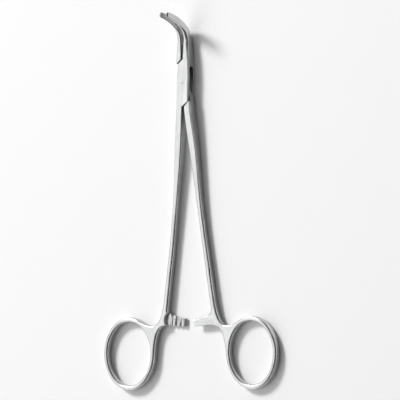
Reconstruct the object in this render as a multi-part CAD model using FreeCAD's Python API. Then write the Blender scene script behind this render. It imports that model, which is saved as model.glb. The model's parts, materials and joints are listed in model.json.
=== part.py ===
import FreeCAD, Part
import math
import os

from FreeCAD import Vector

# Gall duct forceps: a ring-handled, ratcheted forceps with a box lock and curved, grooved jaws.
# It lies on its back. X runs across it, Y along it towards the tips, Z up out of the plane of the rings.
# The origin is the pivot axis, on the back face of the box. Both halves are drawn closed, with the
# parting plane at X = 0, and then turned about the pivot to the opening at rest. Millimetres throughout.

# Opening
rest_opening_deg = 6.5
parting_gap = 0.1

# Box lock
box_width = 7.2
box_thickness = 5.6
box_edge_round = 0.3
box_taper_start = 4.0
wall_end_outer = 9.0
wall_end_inner = 11.9
shoulder_gap = 0.3
mortise_height = 2.6
mortise_end = 8.7
tenon_play = 0.1
tenon_inset = 1.5
pin_diameter = 1.7
pin_seat_gap = 0.01
pin_running_gap = 0.04

# Jaws: a straight neck, a tight bend and a slow bend, all in the parting plane
jaw_neck_length = 8.5
jaw_bend_radius = 10.5
jaw_bend_deg = 50.0
jaw_end_radius = 28.0
jaw_end_deg = 27.0
jaw_root_depth = 3.0
jaw_neck_depth = 2.3
jaw_bend_depth = 1.6
jaw_tip_depth = 1.0
jaw_neck_width = 4.9
jaw_bend_width = 3.7
jaw_tip_width = 2.9
jaw_root_round = 0.3
jaw_neck_round = 1.3
jaw_tip_round = 0.95

# Grooves along the jaw faces
groove_depth = 0.35
groove_pitch_root = 1.3
groove_pitch_tip = 0.82
groove_land = 0.12
groove_run_out = 1.1
groove_tip_share = 0.62

# Shanks: offset of the middle line from the parting plane, width and thickness at each station
neck_station = 29.0
neck_offset = 2.7
neck_width = 3.95
neck_thickness = 4.65
waist_station = 57.0
waist_offset = 4.1
waist_width = 2.8
waist_thickness = 3.6
lower_station = 87.0
lower_offset = 6.55
lower_width = 2.75
lower_thickness = 3.55
yoke_above_arm = 11.3
yoke_offset = 8.7
yoke_width = 2.9
rim_round = 1.0

# Finger rings
ring_centre_x = 32.4
ring_below_arm = 18.1
ring_inner_width = 28.4
ring_inner_length = 32.2
ring_flattening = 1.3
ring_wall = 2.3
ring_thickness = 3.8
saddle_join_deg = 114.0
saddle_shank_pull = 16.5
saddle_ring_pull = 10.0
crotch_join_deg = 182.0
crotch_arm_pull = 9.0
crotch_ring_pull = 11.0

# Ratchet arms: they follow circles about the pivot
arm_radius = 120.3
arm_width = 5.2
arm_tip_width = 4.0
arm_taper_pull = 3.5
arm_reach = 3.4
arm_root_round = 2.7
arm_level_gap = 0.1
arm_shoulder_x = 9.0
arm_shoulder_radius = 5.0
arm_shoulder_lean_deg = 18.0
tooth_count = 3
tooth_pitch = 2.8
tooth_height = 0.95
tooth_crest = 1.0
tooth_tip_land = 2.7

# Values worked out from the sizes above
half_gap = parting_gap / 2
half_box = box_width / 2
box_mid_z = box_thickness / 2
handle_mid_z = ring_thickness / 2
tip_reach = jaw_tip_width / 2
yoke_station = arm_radius - yoke_above_arm
ring_centre = Vector(ring_centre_x, -arm_radius - ring_below_arm, 0)
ring_end_radius = ring_inner_width / 2 - ring_flattening
ring_end_centre = ring_inner_length / 2 - ring_end_radius
ring_side_centre = (ring_end_centre ** 2 - ring_flattening ** 2) / (2 * ring_flattening)
ring_side_radius = ring_side_centre + ring_inner_width / 2
ring_corner_deg = math.degrees(math.atan2(ring_end_centre, ring_side_centre))

# Fixed by form: groove places in pitches, turns of the rounded tip, and numbers of the drawing itself
BOX_JAW_GROOVES = [-1.5, -0.5, 0.5, 1.5]
TENON_JAW_GROOVES = [-1.0, 0.0, 1.0]
TIP_TURNS = [0, 20, 38, 54, 68, 80]
QUARTER_PULL = 0.5523
CUT_PROUD = 0.3
TINY = 0.001
FAR = 400.0


def face_of(edges):
    """A flat face from edges that close on each other."""
    return Part.Face(Part.Wire(Part.__sortEdges__(edges)))


def polygon_face(points):
    return Part.Face(Part.makePolygon([Vector(*p) for p in points + points[:1]]))


def prism(points, z_low, z_high):
    """An upright prism on a polygon of (x, y) corners."""
    return polygon_face([(x, y, z_low) for x, y in points]).extrude(Vector(0, 0, z_high - z_low))


def mirrored(shape):
    return shape.mirror(Vector(0, 0, 0), Vector(1, 0, 0))


def half_turn(shape):
    """The same shape turned half round the pivot axis, as the two ends of the box lock are."""
    turned = shape.copy()
    turned.rotate(Vector(0, 0, 0), Vector(0, 0, 1), 180)
    return turned


def spline(points, start, end):
    curve = Part.BSplineCurve()
    curve.interpolate(points, InitialTangent=start, FinalTangent=end)
    return curve.toShape()


def blend(start, start_pull, end, end_pull):
    """A cubic curve that leaves start and reaches end along the given pulls."""
    curve = Part.BezierCurve()
    curve.setPoles([start, start + start_pull, end - end_pull, end])
    return curve.toShape()


def along_y(edge):
    first, last = edge.Vertexes[0].Point, edge.Vertexes[-1].Point
    run = last - first
    return abs(run.y) > 0.8 * run.Length


# Jaws

def jaw_place(distance):
    """Point, direction and upward normal on the middle line of the jaw, from the end of the box."""
    bend_length = jaw_bend_radius * math.radians(jaw_bend_deg)
    y = wall_end_inner + min(distance, jaw_neck_length)
    z = box_mid_z
    angle = 0.0
    along = distance - jaw_neck_length
    if along > 0:
        angle = min(along, bend_length) / jaw_bend_radius
        y += jaw_bend_radius * math.sin(angle)
        z += jaw_bend_radius * (1 - math.cos(angle))
    if along > bend_length:
        turned = angle + (along - bend_length) / jaw_end_radius
        y += jaw_end_radius * (math.sin(turned) - math.sin(angle))
        z += jaw_end_radius * (math.cos(angle) - math.cos(turned))
        angle = turned
    direction = Vector(0, math.cos(angle), math.sin(angle))
    return Vector(0, y, z), direction, Vector(0, -math.sin(angle), math.cos(angle))


jaw_bend_end = jaw_neck_length + jaw_bend_radius * math.radians(jaw_bend_deg)
jaw_length = jaw_bend_end + jaw_end_radius * math.radians(jaw_end_deg)


def eased(distance, values):
    """A value along the jaw: root, neck, end of the tight bend and tip, joined by straight lines."""
    stops = [0.0, jaw_neck_length, jaw_bend_end, jaw_length]
    for low, high, first, last in zip(stops, stops[1:], values, values[1:]):
        if distance <= high:
            return first + (last - first) * (distance - low) / (high - low)
    return values[-1]


def jaw_section(distance, shrink=1.0):
    """The D-shaped outline of the jaw: a flat face on the parting plane and a rounded back."""
    centre, direction, up = jaw_place(distance)
    width = shrink * eased(distance, [box_thickness, jaw_neck_width, jaw_bend_width, jaw_tip_width])
    depth = shrink * eased(distance, [jaw_root_depth, jaw_neck_depth, jaw_bend_depth, jaw_tip_depth])
    corner = shrink * eased(distance, [jaw_root_round, jaw_neck_round, jaw_neck_round, jaw_tip_round])
    diagonal = corner * (1 - math.sqrt(0.5))

    def at(x, n):
        return centre + Vector(half_gap + x, 0, 0) + up * n

    half = width / 2
    low_arc = Part.Arc(
        at(depth - corner, -half), at(depth - diagonal, diagonal - half), at(depth, corner - half))
    high_arc = Part.Arc(
        at(depth, half - corner), at(depth - diagonal, half - diagonal), at(depth - corner, half))
    return Part.Wire([
        Part.makeLine(at(0, half), at(0, -half)),
        Part.makeLine(at(0, -half), at(depth - corner, -half)),
        low_arc.toShape(),
        Part.makeLine(at(depth, corner - half), at(depth, half - corner)),
        high_arc.toShape(),
        Part.makeLine(at(depth - corner, half), at(0, half)),
    ])


def jaw_body():
    steps = 12
    sections = [jaw_section(jaw_length * n / steps) for n in range(steps + 1)]
    body = Part.makeLoft(sections, True)
    cap = Part.makeLoft([
        jaw_section(jaw_length + tip_reach * math.sin(math.radians(turn)), math.cos(math.radians(turn)))
        for turn in TIP_TURNS
    ], True)
    return body.fuse(cap)


def groove(position):
    """One V groove in the jaw face, at a number of pitches from the middle line, with a pointed end."""
    start = jaw_neck_length
    end = jaw_length + tip_reach * groove_tip_share

    def section(distance, share):
        centre, direction, up = jaw_place(distance)
        travel = (distance - start) / (jaw_length - start)
        pitch = groove_pitch_root + (groove_pitch_tip - groove_pitch_root) * travel
        middle = centre + up * (position * pitch)
        half = share * (pitch - groove_land) / 2
        depth = share * groove_depth
        flare = half * (1 + CUT_PROUD / depth)
        bottom = middle + Vector(half_gap + depth, 0, 0)
        mouth = middle + Vector(half_gap - CUT_PROUD, 0, 0)
        return Part.makePolygon([bottom, mouth + up * flare, mouth - up * flare, bottom])

    steps = 8
    run = Part.makeLoft([section(start + (end - start) * n / steps, 1.0) for n in range(steps + 1)], True)
    point = Part.makeLoft([section(start - groove_run_out, 0.15), section(start, 1.0)], True)
    return [run, point]


def jaw(groove_positions):
    """The jaw on the +X side, with its grooves at the given numbers of pitches from the middle."""
    body = jaw_body()
    for position in groove_positions:
        for cutter in groove(position):
            body = body.cut(cutter)
    return body


# Finger rings: ovals of four arcs, whose end arcs have their centres on the long axis of the ring and
# whose side arcs have theirs on the short one

def ring_arc(facing_deg):
    """Centre, and radius at the opening, of the arc that faces a direction."""
    facing = math.radians(facing_deg)
    if abs(math.sin(facing)) > math.sin(math.radians(ring_corner_deg)):
        up = math.copysign(ring_end_centre, math.sin(facing))
        return ring_centre + Vector(0, up, 0), ring_end_radius
    across = math.copysign(ring_side_centre, math.cos(facing))
    return ring_centre - Vector(across, 0, 0), ring_side_radius


def ring_point(facing_deg, grow):
    """Point on the opening, grown by a wall, where it faces a direction."""
    centre, radius = ring_arc(facing_deg)
    facing = math.radians(facing_deg)
    return centre + Vector(math.cos(facing), math.sin(facing), 0) * (radius + grow)


def ring_heading(facing_deg):
    """Unit direction along the ring, against the clock."""
    facing = math.radians(facing_deg)
    return Vector(-math.sin(facing), math.cos(facing), 0)


def ring_edges(first_deg, last_deg, grow):
    """The arcs of the ring, against the clock from one facing to another."""
    corners = [turn + side for turn in (0, 180, 360, 540) for side in (-ring_corner_deg, ring_corner_deg)]
    stops = [first_deg] + [corner for corner in corners if first_deg < corner < last_deg] + [last_deg]
    return [
        Part.Arc(ring_point(low, grow), ring_point((low + high) / 2, grow), ring_point(high, grow)).toShape()
        for low, high in zip(stops, stops[1:])
    ]


# Handles: plan and side view, cut from one bar, with the rims rounded

def shank_edge(side):
    """Points on the inner (-1) or outer (+1) edge of the shank, from the box down."""
    stations = [
        (neck_station, neck_offset, neck_width),
        (waist_station, waist_offset, waist_width),
        (lower_station, lower_offset, lower_width),
        (yoke_station, yoke_offset, yoke_width),
    ]
    root = Vector(half_gap if side < 0 else half_box, -wall_end_inner, 0)
    return [root] + [Vector(offset + side * width / 2, -y, 0) for y, offset, width in stations]


def arm_point(radius, x):
    return Vector(x, -math.sqrt(radius ** 2 - x ** 2), 0)


def arm_heading(point):
    """Unit direction away from the tip of the arm, along the circle about the pivot."""
    return Vector(-point.y, point.x, 0).normalize()


def arm_arc(radius, first, last):
    return Part.Arc(first, arm_point(radius, (first.x + last.x) / 2), last).toShape()


def handle_outline():
    """Plan of shank, ratchet arm and ring of the half whose handle is on the +X side."""
    down = Vector(0, -1, 0)
    inner = shank_edge(-1)
    outer = shank_edge(1)
    inner_end = (inner[-1] - inner[-2]).normalize()
    outer_end = (outer[-1] - outer[-2]).normalize()
    near = arm_radius - arm_width / 2
    far = arm_radius + arm_width / 2

    gap_to_arm = near - arm_root_round + inner[-1].y
    foot = inner[-1] + inner_end * (gap_to_arm / -inner_end.y)
    round_pull = QUARTER_PULL * arm_root_round
    root_near = arm_point(near, foot.x - arm_root_round)
    root_far = arm_point(far, foot.x - arm_root_round)
    tip_near = arm_point(far - arm_tip_width, -arm_reach)
    tip_far = arm_point(far, -arm_reach)
    crotch = ring_point(crotch_join_deg, ring_wall)
    saddle = ring_point(saddle_join_deg, ring_wall)
    shank_and_arm = [
        spline(inner, down, inner_end),
        Part.makeLine(inner[-1], foot),
        blend(foot, inner_end * round_pull, root_near, arm_heading(root_near) * -round_pull),
        blend(root_near, arm_heading(root_near) * -arm_taper_pull,
              tip_near, arm_heading(tip_near) * -arm_taper_pull),
        Part.makeLine(tip_near, tip_far),
        arm_arc(far, tip_far, root_far),
        blend(root_far, arm_heading(root_far) * crotch_arm_pull,
              crotch, ring_heading(crotch_join_deg) * crotch_ring_pull),
        blend(saddle, ring_heading(saddle_join_deg) * saddle_ring_pull,
              outer[-1], outer_end * -saddle_shank_pull),
        spline(outer, down, outer_end),
        Part.makeLine(outer[0], inner[0]),
    ]
    return shank_and_arm + ring_edges(crotch_join_deg, saddle_join_deg + 360, ring_wall)


def handle_profile():
    """Side view of the handle: it thins from the box to the waist, and is flat from the arm down."""
    drop = box_mid_z - handle_mid_z
    stations = [
        (wall_end_inner, box_mid_z, box_thickness),
        (neck_station, handle_mid_z + drop * 2 / 3, neck_thickness),
        (waist_station, handle_mid_z + drop / 3, waist_thickness),
        (lower_station, handle_mid_z, lower_thickness),
        (yoke_station, handle_mid_z, ring_thickness),
    ]
    down = Vector(0, -1, 0)
    top = [Vector(0, -y, mid + thick / 2) for y, mid, thick in stations]
    bottom = [Vector(0, -y, mid - thick / 2) for y, mid, thick in stations]
    top_end = Vector(0, -FAR, top[-1].z)
    bottom_end = Vector(0, -FAR, bottom[-1].z)
    return [
        spline(top, down, down),
        Part.makeLine(top[-1], top_end),
        Part.makeLine(top_end, bottom_end),
        Part.makeLine(bottom_end, bottom[-1]),
        spline(bottom, down, down),
        Part.makeLine(bottom[0], top[0]),
    ]


def upright(face, low, high):
    """A face in the plane Z = 0 made a prism from one height to another."""
    body = face.extrude(Vector(0, 0, high - low))
    body.translate(Vector(0, 0, low))
    return body


def round_handle(body):
    """The rims start as sharp as the box and grow to full rounds at the yoke, then run round the ring."""
    def shank_rims(solid, from_box):
        chosen = []
        for edge in solid.Edges:
            ends = [vertex.Point.y for vertex in edge.Vertexes]
            runs_down = abs(max(ends) + wall_end_inner) < TINY and abs(min(ends) + yoke_station) < TINY
            starts_at_box = edge.valueAt(edge.FirstParameter).y > -neck_station
            if runs_down and starts_at_box == from_box:
                chosen.append(edge)
        return chosen

    body = body.makeFillet(box_edge_round, rim_round, shank_rims(body, True))
    body = body.makeFillet(rim_round, box_edge_round, shank_rims(body, False))
    opening = [edge for edge in body.Edges if isinstance(edge.Curve, Part.Circle)
               and min(abs(edge.Curve.Radius - size) for size in (ring_end_radius, ring_side_radius)) < TINY]
    return body.makeFillet(rim_round, opening)


def handle():
    plan = upright(face_of(handle_outline()), -box_thickness, 2 * box_thickness)
    side = face_of(handle_profile()).extrude(Vector(FAR, 0, 0))
    side.translate(Vector(-FAR / 2, 0, 0))
    opening = upright(face_of(ring_edges(0, 360, 0)), -box_thickness, 2 * box_thickness)
    return round_handle(plan.common(side).cut(opening).Solids[0])


# Ratchet

def arm_recess():
    """What is milled off the upper face of a lower arm, with a curved, sloping shoulder at its root."""
    floor = handle_mid_z - arm_level_gap / 2
    height = ring_thickness
    lean = height * math.tan(math.radians(arm_shoulder_lean_deg))
    centre = Vector(arm_shoulder_x - arm_shoulder_radius, -arm_radius, floor)
    shoulder = Part.makeCone(arm_shoulder_radius, arm_shoulder_radius + lean, height, centre)
    length = centre.x + 2 * arm_reach + box_width
    corner = Vector(centre.x - length, -arm_radius - arm_width, floor)
    return shoulder.fuse(Part.makeBox(length, 2 * arm_width, height, corner))


def ratchet_teeth():
    """Saw teeth across a lower arm: each rises steeply on its root side to a flat crest, then falls
    away towards the tip."""
    crest_z = handle_mid_z - arm_level_gap / 2
    first_crest = tooth_tip_land - arm_reach
    cutters = []
    for n in range(-1, tooth_count):
        low_x = first_crest + n * tooth_pitch
        crest_x = low_x + tooth_pitch - tooth_crest
        profile = [
            (crest_x, crest_z),
            (low_x, crest_z - tooth_height),
            (low_x, crest_z + tooth_height),
            (crest_x, crest_z + tooth_height),
        ]
        corners = [(x - low_x, -arm_radius - arm_width, z) for x, z in profile]
        cutter = polygon_face(corners).extrude(Vector(0, 2 * arm_width, 0))
        cutter.rotate(Vector(0, 0, 0), Vector(0, 0, 1), math.degrees(low_x / arm_radius))
        cutters.append(cutter)
    return cutters


def ratchet_handle(upper):
    """The handle with its arm cut down: the lower arm has its teeth on top, the upper one underneath."""
    cutters = [arm_recess()] + ratchet_teeth()
    body = handle()
    for cutter in cutters:
        if upper:
            cutter = cutter.mirror(Vector(0, 0, handle_mid_z), Vector(0, 0, 1))
        body = body.cut(cutter)
    return body


# Box lock

def side_x(y):
    """Half width of the box at a place along it: it narrows a little towards the jaws."""
    share = max(0.0, (y - box_taper_start) / (wall_end_inner - box_taper_start))
    return half_box + (half_gap + jaw_root_depth - half_box) * share


def wall_end_y(x):
    """Where the slanted end of a box wall lies, at a distance from the parting plane."""
    return wall_end_inner - (wall_end_inner - wall_end_outer) * x / half_box


shoulder_step = shoulder_gap * math.hypot(1, (wall_end_inner - wall_end_outer) / half_box)


def shoulder_zone():
    """The room that the box walls take beside a jaw or shank of the other half, with its gap."""
    reach = 2 * half_box
    corners = [(-half_box, 0), (reach, 0), (reach, wall_end_y(reach) + shoulder_step),
               (-half_box, wall_end_y(-half_box) + shoulder_step)]
    return prism(corners, -box_thickness, 2 * box_thickness)


def rounded_block(corners):
    """A block of the box's thickness, with its long outer edges eased."""
    block = prism(corners, 0, box_thickness)
    outer = []
    for edge in block.Edges:
        middle = edge.valueAt((edge.FirstParameter + edge.LastParameter) / 2)
        if along_y(edge) and abs(middle.x) > half_box - box_width / 8:
            outer.append(edge)
    return block.makeFillet(box_edge_round, outer)


def mortise():
    """The slot through the box, open to the side where each end of the tenon swings out."""
    low = box_mid_z - mortise_height / 2
    end = mortise_end - mortise_height / 2
    block = Part.makeBox(box_width, end + 2 * wall_end_inner, mortise_height,
                         Vector(-half_gap, -2 * wall_end_inner, low))
    round_end = Part.makeCylinder(mortise_height / 2, box_width, Vector(-half_gap, end, box_mid_z),
                                  Vector(1, 0, 0))
    one_side = block.fuse(round_end)
    return one_side.fuse(half_turn(one_side))


def box_half():
    corners = [
        (-half_box, box_taper_start),
        (-half_box, -wall_end_inner),
        (-half_gap, -wall_end_inner),
        (half_box, -wall_end_outer),
        (half_box, box_taper_start),
        (side_x(wall_end_inner), wall_end_inner),
        (half_gap, wall_end_inner),
        (-side_x(wall_end_outer), wall_end_outer),
    ]
    body = rounded_block(corners).fuse([jaw(BOX_JAW_GROOVES), mirrored(ratchet_handle(upper=False))])
    pin_bore = Part.makeCylinder(pin_diameter / 2 + pin_seat_gap, box_thickness)
    return body.cut(mortise()).cut(pin_bore).removeSplitter()


def tenon():
    """The flat bar between jaw and shank that passes through the slot."""
    waist = mortise_end - tenon_inset
    corners = [
        (-half_gap, wall_end_inner),
        (-side_x(wall_end_inner), wall_end_inner),
        (-side_x(wall_end_outer), wall_end_outer + shoulder_step),
        (half_gap, -waist),
        (half_gap, -wall_end_inner),
        (half_box, -wall_end_inner),
        (half_box, -wall_end_outer - shoulder_step),
        (-half_gap, waist),
    ]
    half_thick = mortise_height / 2 - tenon_play
    return prism(corners, box_mid_z - half_thick, box_mid_z + half_thick)


def tenon_half():
    jaw_root = rounded_block([
        (half_gap, wall_end_inner),
        (side_x(wall_end_outer), wall_end_outer),
        (side_x(wall_end_inner), wall_end_inner),
    ])
    jaw_side = mirrored(jaw_root.fuse(jaw(TENON_JAW_GROOVES)).cut(shoulder_zone()))
    shank_root = rounded_block([
        (half_gap, -wall_end_inner),
        (half_box, -wall_end_inner),
        (half_box, -wall_end_outer),
    ])
    zone = shoulder_zone().mirror(Vector(0, 0, 0), Vector(0, 1, 0))
    shank_side = shank_root.fuse(ratchet_handle(upper=True)).cut(zone)
    pin_bore = Part.makeCylinder(pin_diameter / 2 + pin_running_gap, box_thickness)
    return tenon().fuse([jaw_side, shank_side]).cut(pin_bore).removeSplitter()


def lock_pin():
    return Part.makeCylinder(pin_diameter / 2, box_thickness)


def opened(shape, angle_deg):
    shape.rotate(Vector(0, 0, 0), Vector(0, 0, 1), angle_deg)
    return shape


pieces = {
    "box_half": opened(box_half(), -rest_opening_deg / 2),
    "tenon_half": opened(tenon_half(), rest_opening_deg / 2),
    "lock_pin": lock_pin(),
}
os.makedirs("parts", exist_ok=True)
for name, shape in pieces.items():
    solid = shape.Solids[0]
    print(name, len(shape.Solids), shape.isValid(), round(shape.Volume, 1), shape.BoundBox)
    solid.exportStep("parts/" + name + ".step")
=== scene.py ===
import bmesh
import bpy
import json
import math
from mathutils import Matrix, Vector
from mathutils.bvhtree import BVHTree


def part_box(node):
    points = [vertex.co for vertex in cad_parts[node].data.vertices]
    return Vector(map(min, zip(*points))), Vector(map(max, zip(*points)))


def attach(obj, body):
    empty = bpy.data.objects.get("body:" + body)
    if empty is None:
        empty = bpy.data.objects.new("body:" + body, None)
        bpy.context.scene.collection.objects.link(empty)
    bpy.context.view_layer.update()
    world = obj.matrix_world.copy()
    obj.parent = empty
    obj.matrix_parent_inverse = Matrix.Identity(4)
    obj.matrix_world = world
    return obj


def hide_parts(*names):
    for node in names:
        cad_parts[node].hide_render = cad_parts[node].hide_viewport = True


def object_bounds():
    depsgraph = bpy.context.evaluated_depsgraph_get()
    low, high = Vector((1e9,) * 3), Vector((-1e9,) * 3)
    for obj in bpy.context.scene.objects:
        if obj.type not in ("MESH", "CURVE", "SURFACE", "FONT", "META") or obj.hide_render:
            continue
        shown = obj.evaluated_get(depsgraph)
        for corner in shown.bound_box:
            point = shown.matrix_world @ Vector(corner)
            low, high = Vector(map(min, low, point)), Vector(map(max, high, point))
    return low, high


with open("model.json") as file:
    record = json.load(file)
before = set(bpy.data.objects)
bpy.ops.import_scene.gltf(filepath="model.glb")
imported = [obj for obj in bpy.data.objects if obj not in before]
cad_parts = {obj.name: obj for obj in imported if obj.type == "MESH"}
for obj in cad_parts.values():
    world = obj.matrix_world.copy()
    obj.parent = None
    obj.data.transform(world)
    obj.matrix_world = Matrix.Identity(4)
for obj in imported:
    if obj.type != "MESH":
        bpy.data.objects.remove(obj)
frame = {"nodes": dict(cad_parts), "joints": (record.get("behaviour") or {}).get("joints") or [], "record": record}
cad_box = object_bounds()


# White paper under the forceps, which lies on it on its back. The sheet is larger than the main view, so
# no edge shows there. It is matt, with a faint mottle from its fibres, and takes the soft shadow.
mm = 0.001
paper_size = 4.0
paper_gap = 0.02 * mm
paper_mottle = 60.0
paper_dark = 0.955
paper_light = 0.965
paper_roughness = 0.9
paper_gloss = 0.1


def deselect_all():
    """Leaves edit mode and selects nothing, as each new piece starts."""
    if bpy.context.object and bpy.context.object.mode != 'OBJECT':
        bpy.ops.object.mode_set(mode='OBJECT')
    bpy.ops.object.select_all(action='DESELECT')


def new_material(name):
    """A node material, with its Principled shader, ready to be given a finish."""
    material = bpy.data.materials.new(name)
    material.use_nodes = True
    tree = material.node_tree
    return material, tree, tree.nodes["Principled BSDF"]


def wire(tree, kind, inputs=None, **settings):
    """One node with its settings, whose inputs are linked to sockets or set to values."""
    node = tree.nodes.new(kind)
    for key, value in settings.items():
        setattr(node, key, value)
    for key, value in (inputs or {}).items():
        if isinstance(value, bpy.types.NodeSocket):
            tree.links.new(value, node.inputs[key])
        else:
            node.inputs[key].default_value = value
    return node


def grey(level, warmth=0.0):
    """A grey, a little warmer where warmth is above nought and cooler where it is below."""
    return (level + warmth, level, level - warmth, 1.0)


deselect_all()
bpy.ops.mesh.primitive_grid_add(size=paper_size, x_subdivisions=4, y_subdivisions=4, location=(0, 0, 0))
paper = bpy.context.object
paper.name = "paper"
paper.data.transform(Matrix.Translation((0, 0, cad_box[0][2] - paper_gap)))
material, tree, shader = new_material("white_paper")
shader.inputs["Roughness"].default_value = paper_roughness
shader.inputs["Specular IOR Level"].default_value = paper_gloss
place = wire(tree, "ShaderNodeTexCoord")
fibres = wire(tree, "ShaderNodeTexNoise", {"Vector": place.outputs["Object"], "Scale": paper_mottle})
tint = wire(
    tree, "ShaderNodeMix",
    {"Factor": fibres.outputs["Fac"], "A": grey(paper_dark), "B": grey(paper_light)}, data_type='RGBA')
tree.links.new(tint.outputs["Result"], shader.inputs["Base Color"])
paper.data.materials.append(material)


# Box half: the female half, one stainless forging with the slotted box, the right jaw, the left shank and
# ring and the lower ratchet arm. It is milled, then brushed along its length and polished by hand: the
# wheel brightens the edges. The slot, the grooves and the roots of the teeth are darkened with painted
# shade, where short rays from each point meet the piece.
hinge = frame["joints"][0]
rest_turn = -math.radians(hinge["range_deg"][0]) / 2
mounts = {mount["name"]: Vector(mount["pos_m"]) for mount in frame["record"]["mounts"]}
weld = 0.002 * mm
smooth_turn = math.radians(30)

# Where the brushing turns: round the ring, across the ratchet arm and round the bend of the jaw.
ring_reach = 20.5 * mm
ring_middle = 16.5 * mm
arm_radius = 120.3 * mm
arm_half_width = 3.6 * mm
arm_reach = 9.5 * mm
jaw_bend_start = 20.4 * mm
jaw_bend_height = 21.7 * mm
jaw_bend_middle = 16.6 * mm

# The brushed lines: how many in a metre, how far each is drawn out, and how much each kind shows.
half_fineness = 5200.0
streak_fineness = 1100.0
scratch_fineness = 5200.0
cloud_fineness = 160.0
grain_draw = 0.045
scratch_draw = 0.02
grain_detail = 4.0
grain_crispness = 0.6
streak_detail = 2.0
scratch_start = 0.68
scratch_full = 0.74
cloud_share = 0.35
patch_share = 0.6
shade_start = 0.36
shade_full = 0.64

# The steel's colours, with the painted shade of its hollows, and how smooth it is where it is bright, where it is
# dull and in its hollows.
half_bright = grey(0.66, -0.004)
half_dull = grey(0.52, -0.003)
worn_steel = grey(0.78, -0.004)
worn_share = 0.55
# Painted shade: a near-black steel colour laid into the hollows, where rays from a point meet the piece, and how
# much of it goes in.
painted_shade_colour = grey(0.13, 0.004)
painted_shade_start = 0.12
painted_shade_full = 0.62
painted_shade_share = 0.85
bright_roughness = 0.17
dull_roughness = 0.26
occluded_roughness = 0.3
scratch_height = -0.5
grain_strength = 0.35
grain_depth = 0.008 * mm

# How hollows and worn edges are found: short rays leave each point in all directions, and the share that
# meets the piece sets the painted shade of its hollow; an edge is the more worn the nearer its rounding is
# to this radius.
ray_count = 24
ray_reach = 1.6 * mm
ray_lift = 0.02 * mm
half_edge_round = 0.3 * mm
edge_gain = 0.8
edge_falloff = 3


def brushed_steel_group():
    """Node group: brushed steel along the vector's second coordinate, with worn edges and painted shade in its
    hollows.
    """
    group = bpy.data.node_groups.new("brushed steel", "ShaderNodeTree")
    for name, way, kind in (
            ("Vector", 'INPUT', 'NodeSocketVector'), ("Fineness", 'INPUT', 'NodeSocketFloat'),
            ("Painted Shade", 'INPUT', 'NodeSocketFloat'), ("Edge", 'INPUT', 'NodeSocketFloat'),
            ("Bright", 'INPUT', 'NodeSocketColor'), ("Dull", 'INPUT', 'NodeSocketColor'),
            ("Color", 'OUTPUT', 'NodeSocketColor'), ("Roughness", 'OUTPUT', 'NodeSocketFloat'),
            ("Height", 'OUTPUT', 'NodeSocketFloat')):
        group.interface.new_socket(name=name, in_out=way, socket_type=kind)
    inlet = wire(group, "NodeGroupInput").outputs
    outlet = wire(group, "NodeGroupOutput").inputs

    drawn = wire(
        group, "ShaderNodeVectorMath",
        {0: inlet["Vector"], 1: (1.0, grain_draw, 1.0)}, operation='MULTIPLY')
    grain = wire(
        group, "ShaderNodeTexNoise",
        {"Vector": drawn.outputs["Vector"], "Scale": inlet["Fineness"], "Detail": grain_detail,
         "Roughness": grain_crispness})
    broad = wire(
        group, "ShaderNodeTexNoise",
        {"Vector": drawn.outputs["Vector"], "Scale": streak_fineness, "Detail": streak_detail})
    rarely = wire(
        group, "ShaderNodeVectorMath",
        {0: inlet["Vector"], 1: (1.0, scratch_draw, 1.0)}, operation='MULTIPLY')
    lines = wire(
        group, "ShaderNodeTexNoise", {"Vector": rarely.outputs["Vector"], "Scale": scratch_fineness})
    scratches = wire(
        group, "ShaderNodeMapRange",
        {"Value": lines.outputs["Fac"], "From Min": scratch_start, "From Max": scratch_full})
    clouds = wire(group, "ShaderNodeTexNoise", {"Vector": inlet["Vector"], "Scale": cloud_fineness})

    patches = wire(
        group, "ShaderNodeMix",
        {"Factor": cloud_share, "A": broad.outputs["Fac"], "B": clouds.outputs["Fac"]})
    streaks = wire(
        group, "ShaderNodeMix",
        {"Factor": patch_share, "A": grain.outputs["Fac"], "B": patches.outputs["Result"]})
    shade = wire(
        group, "ShaderNodeMapRange",
        {"Value": streaks.outputs["Result"], "From Min": shade_start, "From Max": shade_full})
    worn = wire(group, "ShaderNodeMapRange", {"Value": inlet["Edge"], "To Max": worn_share})
    # Painted shade: the share of dark colour put into the hollows, from the rays that met the piece; it also
    # roughens them.
    painted_shade = wire(
        group, "ShaderNodeMapRange",
        {"Value": inlet["Painted Shade"], "From Min": painted_shade_start, "From Max": painted_shade_full,
         "To Max": painted_shade_share})

    colour = wire(
        group, "ShaderNodeMix",
        {"Factor": shade.outputs["Result"], "A": inlet["Dull"], "B": inlet["Bright"]}, data_type='RGBA')
    colour = wire(
        group, "ShaderNodeMix",
        {"Factor": worn.outputs["Result"], "A": colour.outputs["Result"], "B": worn_steel},
        data_type='RGBA')
    # Painted shade darkens the colour in the hollows.
    colour = wire(
        group, "ShaderNodeMix",
        {"Factor": painted_shade.outputs["Result"], "A": colour.outputs["Result"], "B": painted_shade_colour},
        data_type='RGBA')
    rough = wire(
        group, "ShaderNodeMapRange",
        {"Value": shade.outputs["Result"], "To Min": dull_roughness, "To Max": bright_roughness})
    rough = wire(
        group, "ShaderNodeMath",
        {0: painted_shade.outputs["Result"], 1: occluded_roughness, 2: rough.outputs["Result"]},
        operation='MULTIPLY_ADD')
    height = wire(
        group, "ShaderNodeMath",
        {0: scratches.outputs["Result"], 1: scratch_height, 2: grain.outputs["Fac"]},
        operation='MULTIPLY_ADD')
    group.links.new(colour.outputs["Result"], outlet["Color"])
    group.links.new(rough.outputs["Value"], outlet["Roughness"])
    group.links.new(height.outputs["Value"], outlet["Height"])
    return group


steel_group = brushed_steel_group()


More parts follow.
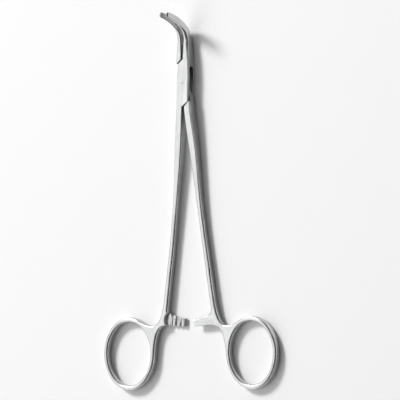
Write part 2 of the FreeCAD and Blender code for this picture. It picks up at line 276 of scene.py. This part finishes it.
def polar(tree, across, along, depth, middle):
    """Coordinates that run round a centre: distance from it, way round it and depth."""
    flat = wire(tree, "ShaderNodeCombineXYZ", {"X": across, "Y": along})
    distance = wire(tree, "ShaderNodeVectorMath", {0: flat.outputs["Vector"]}, operation='LENGTH')
    turn = wire(tree, "ShaderNodeMath", {0: along, 1: across}, operation='ARCTAN2')
    way = wire(tree, "ShaderNodeMath", {0: turn.outputs["Value"], 1: middle}, operation='MULTIPLY')
    vector = wire(
        tree, "ShaderNodeCombineXYZ",
        {"X": distance.outputs["Value"], "Y": way.outputs["Value"], "Z": depth})
    return vector.outputs["Vector"], distance.outputs["Value"]


def switch(tree, mask, off, on):
    """One of two vectors, by a mask of nought or one."""
    mix = wire(tree, "ShaderNodeMix", {"Factor": mask}, data_type='VECTOR')
    tree.links.new(off, mix.inputs["A"])
    tree.links.new(on, mix.inputs["B"])
    return mix.outputs["Result"]


def reckon(tree, operation, first, second=0.0):
    """The result of one sum, difference or comparison of two numbers."""
    return wire(tree, "ShaderNodeMath", {0: first, 1: second}, operation=operation).outputs["Value"]


def grain_direction(tree, turn, ring_centre):
    """Coordinates that follow the brushing of one half: along the shank and the box, round the ring,
    across the ratchet arm and round the bend of the jaw."""
    place = wire(tree, "ShaderNodeTexCoord")
    closed = wire(
        tree, "ShaderNodeMapping", {"Vector": place.outputs["Object"], "Rotation": (0, 0, -turn)})
    straight = closed.outputs["Vector"]
    parts = wire(tree, "ShaderNodeSeparateXYZ", {"Vector": straight})
    x, y, z = (parts.outputs[axis] for axis in "XYZ")

    centre = Matrix.Rotation(-turn, 3, 'Z') @ ring_centre
    from_x = reckon(tree, 'SUBTRACT', x, centre.x)
    from_y = reckon(tree, 'SUBTRACT', y, centre.y)
    round_ring, distance = polar(tree, from_x, from_y, z, ring_middle)
    in_ring = reckon(tree, 'LESS_THAN', distance, ring_reach)

    down = reckon(tree, 'SUBTRACT', jaw_bend_height, z)
    past = reckon(tree, 'SUBTRACT', y, jaw_bend_start)
    round_bend, _ = polar(tree, down, past, x, jaw_bend_middle)
    in_bend = reckon(tree, 'GREATER_THAN', y, jaw_bend_start)

    across_arm = wire(tree, "ShaderNodeCombineXYZ", {"X": y, "Y": x, "Z": z}).outputs["Vector"]
    low = reckon(tree, 'LESS_THAN', y, arm_half_width - arm_radius)
    near = reckon(tree, 'LESS_THAN', reckon(tree, 'ABSOLUTE', x), arm_reach)
    in_arm = reckon(tree, 'MULTIPLY', low, near)

    vector = switch(tree, in_bend, straight, round_bend)
    vector = switch(tree, in_ring, vector, round_ring)
    return switch(tree, in_arm, vector, across_arm)


def steel_finish(tree, shader, vector, fineness, bright, dull):
    """Brushed stainless steel on a shader, worn on its edges and darkened in its hollows with painted shade, as
    the piece's own marks say.
    """
    painted_shade = wire(tree, "ShaderNodeAttribute", attribute_name="painted_shade")
    edge = wire(tree, "ShaderNodeAttribute", attribute_name="edge")
    steel = wire(tree, "ShaderNodeGroup", node_tree=steel_group)
    tree.links.new(vector, steel.inputs["Vector"])
    tree.links.new(painted_shade.outputs["Fac"], steel.inputs["Painted Shade"])
    tree.links.new(edge.outputs["Fac"], steel.inputs["Edge"])
    steel.inputs["Fineness"].default_value = fineness
    steel.inputs["Bright"].default_value = bright
    steel.inputs["Dull"].default_value = dull
    bump = wire(
        tree, "ShaderNodeBump",
        {"Height": steel.outputs["Height"], "Strength": grain_strength, "Distance": grain_depth})
    tree.links.new(steel.outputs["Color"], shader.inputs["Base Color"])
    tree.links.new(steel.outputs["Roughness"], shader.inputs["Roughness"])
    tree.links.new(bump.outputs["Normal"], shader.inputs["Normal"])
    shader.inputs["Metallic"].default_value = 1.0


def ray_fan(count):
    """Unit directions spread evenly over a ball."""
    golden_turn = math.pi * (3 - math.sqrt(5))
    fan = []
    for n in range(count):
        height = 1 - (2 * n + 1) / count
        reach = math.sqrt(1 - height * height)
        fan.append(Vector((reach * math.cos(n * golden_turn), reach * math.sin(n * golden_turn), height)))
    return fan


def sharpness(line):
    """How fast the surface turns across one mesh edge, outwards, in radians a metre."""
    width = sum(face.calc_area() for face in line.link_faces) / line.calc_length()
    return line.calc_face_angle_signed(0.0) / width


def mark_wear_and_shade(piece, edge_round):
    """Marks on each point how hollow its place is, which sets its painted shade, and whether it lies on an edge
    rounded that small.
    """
    work = bmesh.new()
    work.from_mesh(piece.data)
    tree = BVHTree.FromBMesh(work)
    fan = ray_fan(ray_count)
    painted_shade = []
    edge = []
    for point in work.verts:
        start = point.co + point.normal * ray_lift
        rays = [ray if ray.dot(point.normal) > 0 else -ray for ray in fan]
        hits = sum(tree.ray_cast(start, ray, ray_reach)[0] is not None for ray in rays)
        painted_shade.append(hits / ray_count)
        bends = [sharpness(line) for line in point.link_edges if line.calc_length() > weld]
        sharpest = max(bends, default=0.0)
        edge.append(min(max(sharpest * edge_round * edge_gain, 0.0), 1.0) ** edge_falloff)
    work.free()
    for name, values in (("painted_shade", painted_shade), ("edge", edge)):
        layer = piece.data.attributes.new(name, 'FLOAT', 'POINT')
        layer.data.foreach_set("value", values)


def finished_half(node, name):
    """A welded copy of one half as machined, smooth over its roundings, which takes the brushed finish."""
    piece = bpy.data.objects.new(name, frame["nodes"][node].data.copy())
    piece.data.name = name
    bpy.context.scene.collection.objects.link(piece)
    deselect_all()
    piece.select_set(True)
    bpy.context.view_layer.objects.active = piece
    bpy.ops.mesh.customdata_custom_splitnormals_clear()
    bpy.ops.object.mode_set(mode='EDIT')
    bpy.ops.mesh.select_all(action='SELECT')
    bpy.ops.mesh.remove_doubles(threshold=weld)
    bpy.ops.object.mode_set(mode='OBJECT')
    bpy.ops.object.shade_smooth_by_angle(angle=smooth_turn)
    mark_wear_and_shade(piece, half_edge_round)
    flats = piece.modifiers.new("flats", 'WEIGHTED_NORMAL')
    flats.keep_sharp = True
    bpy.ops.object.modifier_apply(modifier=flats.name)
    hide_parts(node)
    return piece


def brushed_steel(piece, name, turn, ring_centre):
    """The halves' finish, brushed the way that the piece runs."""
    material, tree, shader = new_material(name)
    vector = grain_direction(tree, turn, ring_centre)
    steel_finish(tree, shader, vector, half_fineness, half_bright, half_dull)
    piece.data.materials.clear()
    piece.data.materials.append(material)


box_half = finished_half("box_half", "box_half_brushed")
brushed_steel(box_half, "brushed_box_half", -rest_turn, mounts["left_finger_ring"])
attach(box_half, "box_half")


# Tenon half: the male half, forged and brushed as the other, whose flat tenon passes through the slot of
# the box. It carries the left jaw, the right shank and ring and the upper ratchet arm, teeth down.
tenon_half = finished_half("tenon_half", "tenon_half_brushed")
brushed_steel(tenon_half, "brushed_tenon_half", rest_turn, mounts["right_finger_ring"])
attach(tenon_half, "tenon_half")


# Lock pin: a plain rivet of stainless rod through the box walls and the tenon. Its ends are spread in
# the walls, then ground flush with them, so that only a hairline and the round marks of the wheel show.
pin_low, pin_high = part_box("lock_pin")
pin_radius = (pin_high.x - pin_low.x) / 2
pin_sides = 64
pin_end_round = 0.05 * mm
pin_fineness = 9000.0
pin_bright = grey(0.60, -0.003)
pin_dull = grey(0.44, -0.003)
level_face = 0.9

deselect_all()
bpy.ops.mesh.primitive_cylinder_add(
    vertices=pin_sides, radius=pin_radius, depth=pin_high.z - pin_low.z,
    location=(0, 0, 0), end_fill_type='NGON')
pin = bpy.context.object
pin.name = "lock_pin_riveted"
pin.data.name = "lock_pin_riveted"
pin.data.transform(Matrix.Translation((pin_low + pin_high) / 2))
bpy.ops.object.mode_set(mode='EDIT')
bpy.ops.mesh.select_mode(type='FACE')
bpy.ops.mesh.select_all(action='DESELECT')
work = bmesh.from_edit_mesh(pin.data)
for face in work.faces:
    face.select_set(abs(face.normal.z) > level_face)
bmesh.update_edit_mesh(pin.data)
bpy.ops.mesh.inset(thickness=2 * pin_end_round)
bpy.ops.mesh.inset(thickness=pin_radius / 2)
bpy.ops.mesh.poke()
bpy.ops.object.mode_set(mode='OBJECT')
rim = pin.modifiers.new("rim", 'BEVEL')
rim.width = pin_end_round
rim.segments = 2
rim.limit_method = 'ANGLE'
bpy.ops.object.modifier_apply(modifier=rim.name)
bpy.ops.object.shade_smooth_by_angle(angle=smooth_turn)
mark_wear_and_shade(pin, pin_end_round)
material, tree, shader = new_material("riveted_pin")
place = wire(tree, "ShaderNodeTexCoord")
parts = wire(tree, "ShaderNodeSeparateXYZ", {"Vector": place.outputs["Object"]})
turned, _ = polar(tree, parts.outputs["X"], parts.outputs["Y"], parts.outputs["Z"], pin_radius)
steel_finish(tree, shader, turned, pin_fineness, pin_bright, pin_dull)
pin.data.materials.append(material)
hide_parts("lock_pin")
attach(pin, "box_half")


# Light: a long strip of bright sky beside the forceps, high on the left, which the faces turned to the
# camera mirror, in an open sky that dims to the right. A soft box at the upper left lights the paper, a
# weak one hangs overhead, and a black flag keeps the low right dark for the sides that face it.
strip_lean = 0.643
strip_full = 0.14
strip_edge = 0.34
strip_strength = 1.35
open_sky_strength = 0.35
dim_sky_strength = 0.13
dim_sky_start = -0.05
dim_sky_full = 0.25

world = bpy.data.worlds.new("studio")
bpy.context.scene.world = world
world.use_nodes = True
tree = world.node_tree
sky = tree.nodes["Background"]
direction = wire(tree, "ShaderNodeTexCoord")
parts = wire(tree, "ShaderNodeSeparateXYZ", {"Vector": direction.outputs["Generated"]})
off_strip = reckon(tree, 'ABSOLUTE', reckon(tree, 'ADD', parts.outputs["X"], strip_lean))
open_sky = wire(
    tree, "ShaderNodeMapRange",
    {"Value": parts.outputs["X"], "From Min": dim_sky_start, "From Max": dim_sky_full,
     "To Min": open_sky_strength, "To Max": dim_sky_strength}, interpolation_type='SMOOTHSTEP')
strip = wire(
    tree, "ShaderNodeMapRange",
    {"Value": off_strip, "From Min": strip_full, "From Max": strip_edge,
     "To Min": strip_strength, "To Max": open_sky.outputs["Result"]}, interpolation_type='SMOOTHSTEP')
tree.links.new(strip.outputs["Result"], sky.inputs["Strength"])
sky.inputs["Color"].default_value = (1, 1, 1, 1)

lit_middle = Vector((0, -0.06, 0))
soft_boxes = {
    "upper_left_box": (Vector((-1.9, 1.9, 1.85)), 88.0),
    "overhead_box": (Vector((0, 0, 2.2)), 1.5),
}
box_size = 0.7
for name, (offset, power) in soft_boxes.items():
    lamp = bpy.data.lights.new(name, 'AREA')
    lamp.shape = 'SQUARE'
    lamp.size = box_size
    lamp.energy = power
    soft_box = bpy.data.objects.new(name, lamp)
    bpy.context.scene.collection.objects.link(soft_box)
    soft_box.location = lit_middle + offset
    soft_box.rotation_euler = (-offset).to_track_quat('-Z', 'Y').to_euler()

flag_length = 1.1
flag_height = 0.38
flag_distance = 0.5
flag_weave = 900.0
flag_dark = 0.006
flag_light = 0.014
deselect_all()
bpy.ops.mesh.primitive_grid_add(size=1.0, x_subdivisions=2, y_subdivisions=2, location=(0, 0, 0))
flag = bpy.context.object
flag.name = "black_flag"
flag.data.transform(Matrix.Diagonal((flag_height, flag_length, 1, 1)))
flag.data.transform(Matrix.Rotation(math.radians(90), 4, 'Y'))
flag.data.transform(Matrix.Translation((flag_distance, lit_middle.y, flag_height / 2)))
material, tree, shader = new_material("black_cloth")
place = wire(tree, "ShaderNodeTexCoord")
weave = wire(tree, "ShaderNodeTexNoise", {"Vector": place.outputs["Object"], "Scale": flag_weave})
cloth = wire(
    tree, "ShaderNodeMix",
    {"Factor": weave.outputs["Fac"], "A": grey(flag_dark), "B": grey(flag_light)}, data_type='RGBA')
tree.links.new(cloth.outputs["Result"], shader.inputs["Base Color"])
shader.inputs["Roughness"].default_value = 1.0
flag.data.materials.append(material)
flag.visible_camera = False


# Camera: over the long axis, turned 40 degrees about it to the right, far off on a long lens, as the
# engraver drew it. The picture is 400 pixels square and the hinge lies at one pixel of it.
view_turn = math.radians(40.0)
view_roll = math.radians(1.0)
pixels_per_metre = 1984.0
picture_half = 200.0
hinge_pixel = (185.7, 82.8)
lens = 1500.0
sensor = 36.0

towards_camera = Vector((math.sin(view_turn), 0, math.cos(view_turn)))
flat_right = Vector((math.cos(view_turn), 0, -math.sin(view_turn)))
flat_up = Vector((0, 1, 0))
right = flat_right * math.cos(view_roll) - flat_up * math.sin(view_roll)
up = flat_right * math.sin(view_roll) + flat_up * math.cos(view_roll)
hinge_middle = Vector((0, 0, pin_high.z / 2))
aim = hinge_middle + right * ((picture_half - hinge_pixel[0]) / pixels_per_metre)
aim -= up * ((picture_half - hinge_pixel[1]) / pixels_per_metre)
distance = 2 * picture_half / pixels_per_metre * lens / sensor
camera_data = bpy.data.cameras.new("camera")
camera_data.lens = lens
camera_data.sensor_width = sensor
camera = bpy.data.objects.new("camera", camera_data)
bpy.context.scene.collection.objects.link(camera)
turn = Matrix((right, up, towards_camera)).transposed().to_4x4()
camera.matrix_world = Matrix.Translation(aim + towards_camera * distance) @ turn
bpy.context.scene.camera = camera
bpy.context.scene.view_settings.view_transform = 'Standard'
